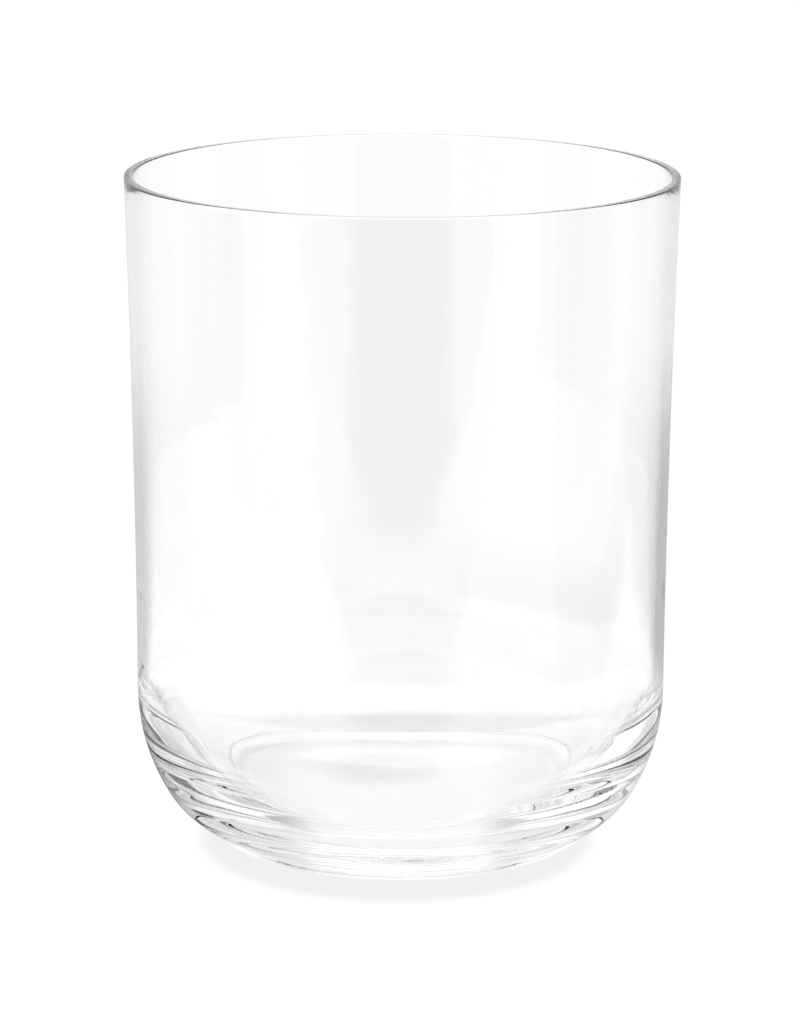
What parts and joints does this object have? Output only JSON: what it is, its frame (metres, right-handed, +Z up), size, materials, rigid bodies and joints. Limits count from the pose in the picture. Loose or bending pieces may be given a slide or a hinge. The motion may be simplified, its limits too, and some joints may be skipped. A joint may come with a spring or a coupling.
{
  "type": "drinking tumbler",
  "caption": "Clear drinking tumbler with a gently flared thin wall, a flat rim with softened edges, a rounded lower corner and a heavy base on a low foot.",
  "frame": {"origin": "middle of the ring that the glass stands on, at the standing level", "axes": "+Z up along the axis of the glass, towards the rim; X and Y are any two directions across it, as the glass is round"},
  "size_m": [0.085, 0.085, 0.1034],
  "materials": {
    "clear_glass": "clear and colourless, fire-polished"
  },
  "bodies": {
    "root": {"glass_body": "clear_glass"}
  },
  "joints": []
}
